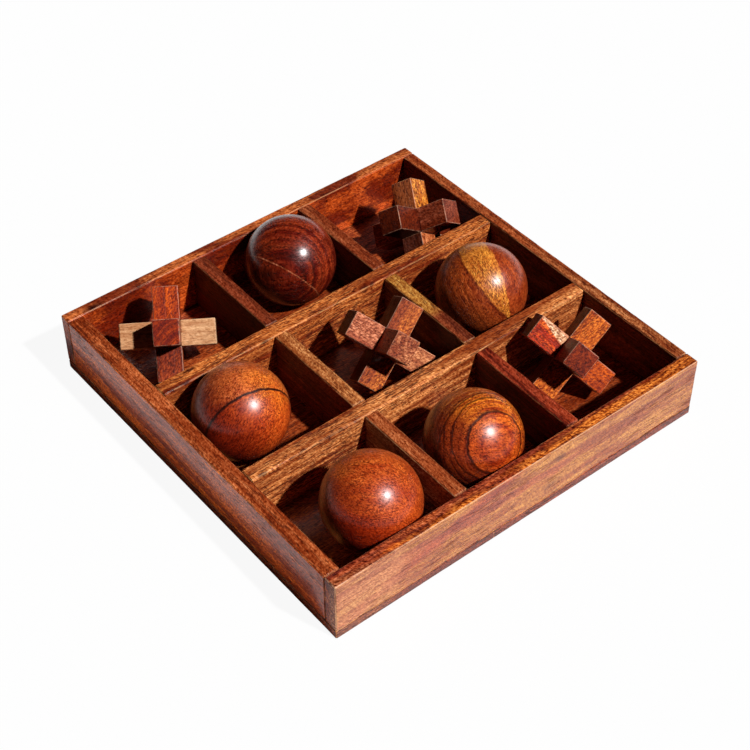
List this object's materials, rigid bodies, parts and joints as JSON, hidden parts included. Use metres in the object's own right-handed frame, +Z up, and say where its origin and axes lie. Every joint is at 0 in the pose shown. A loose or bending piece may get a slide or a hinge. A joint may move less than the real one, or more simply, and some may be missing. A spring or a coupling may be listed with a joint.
{
  "type": "tic-tac-toe game",
  "caption": "Square wooden tic-tac-toe tray with a grid of open cells, holding loose turned balls and three-way crosses of square sticks as playing pieces.",
  "frame": {"origin": "centre of the tray's underside", "axes": "+Z up out of the open cells, +Y from the front board towards the back board, +X to the right"},
  "size_m": [0.238, 0.238, 0.0571],
  "materials": {
    "base_wood": "dark oiled hardwood, satin",
    "light_frame_wood": "light salmon hardwood, satin varnish",
    "orange_frame_wood": "orange-brown hardwood, satin varnish",
    "brown_frame_wood": "reddish brown hardwood, satin varnish",
    "long_divider_wood": "golden orange-brown open-grained hardwood, satin varnish",
    "red_brown_divider_wood": "reddish brown hardwood, satin varnish",
    "golden_divider_wood": "golden tan hardwood, satin varnish",
    "dark_ball_wood": "dark red-brown turned hardwood, gloss varnish",
    "brown_ball_wood": "orange-brown turned hardwood, gloss varnish",
    "orange_ball_wood": "orange turned hardwood with strong rings, gloss varnish",
    "orange_stick_wood": "orange hardwood stick, satin varnish",
    "brown_stick_wood": "reddish brown hardwood stick, satin varnish",
    "pale_stick_wood": "pale tan hardwood stick, satin varnish"
  },
  "bodies": {
    "tray": {"base_board": "base_wood", "front_board": "light_frame_wood", "back_board": "orange_frame_wood", "left_board": "brown_frame_wood", "right_board": "orange_frame_wood", "front_long_divider": "long_divider_wood", "back_long_divider": "long_divider_wood", "front_row_left_divider": "red_brown_divider_wood", "front_row_right_divider": "red_brown_divider_wood", "middle_row_left_divider": "golden_divider_wood", "middle_row_right_divider": "golden_divider_wood", "back_row_left_divider": "red_brown_divider_wood", "back_row_right_divider": "red_brown_divider_wood"},
    "back_middle_ball": {"back_middle_ball": "dark_ball_wood"},
    "middle_left_ball": {"middle_left_ball": "brown_ball_wood"},
    "middle_right_ball": {"middle_right_ball": "brown_ball_wood"},
    "front_left_ball": {"front_left_ball": "orange_ball_wood"},
    "front_middle_ball": {"front_middle_ball": "orange_ball_wood"},
    "back_left_cross": {"back_left_cross_under_stick": "pale_stick_wood", "back_left_cross_over_stick": "brown_stick_wood", "back_left_cross_upper_arm": "orange_stick_wood", "back_left_cross_lower_arm": "brown_stick_wood"},
    "back_right_cross": {"back_right_cross_under_stick": "brown_stick_wood", "back_right_cross_over_stick": "brown_stick_wood", "back_right_cross_upper_arm": "orange_stick_wood", "back_right_cross_lower_arm": "pale_stick_wood"},
    "centre_cross": {"centre_cross_under_stick": "orange_stick_wood", "centre_cross_over_stick": "orange_stick_wood", "centre_cross_upper_arm": "orange_stick_wood", "centre_cross_lower_arm": "orange_stick_wood"},
    "front_right_cross": {"front_right_cross_under_stick": "orange_stick_wood", "front_right_cross_over_stick": "orange_stick_wood", "front_right_cross_upper_arm": "orange_stick_wood", "front_right_cross_lower_arm": "orange_stick_wood"}
  },
  "joints": [
    {"name": "back_middle_ball_lift", "type": "slide", "parent": "tray", "child": "back_middle_ball", "axis": [0, 0, 1], "range_m": [0, 0.06]},
    {"name": "middle_left_ball_lift", "type": "slide", "parent": "tray", "child": "middle_left_ball", "axis": [0, 0, 1], "range_m": [0, 0.06]},
    {"name": "middle_right_ball_lift", "type": "slide", "parent": "tray", "child": "middle_right_ball", "axis": [0, 0, 1], "range_m": [0, 0.06]},
    {"name": "front_left_ball_lift", "type": "slide", "parent": "tray", "child": "front_left_ball", "axis": [0, 0, 1], "range_m": [0, 0.06]},
    {"name": "front_middle_ball_lift", "type": "slide", "parent": "tray", "child": "front_middle_ball", "axis": [0, 0, 1], "range_m": [0, 0.06]},
    {"name": "back_left_cross_lift", "type": "slide", "parent": "tray", "child": "back_left_cross", "axis": [0, 0, 1], "range_m": [0, 0.06]},
    {"name": "back_right_cross_lift", "type": "slide", "parent": "tray", "child": "back_right_cross", "axis": [0, 0, 1], "range_m": [0, 0.06]},
    {"name": "centre_cross_lift", "type": "slide", "parent": "tray", "child": "centre_cross", "axis": [0, 0, 1], "range_m": [0, 0.06]},
    {"name": "front_right_cross_lift", "type": "slide", "parent": "tray", "child": "front_right_cross", "axis": [0, 0, 1], "range_m": [0, 0.06]}
  ]
}
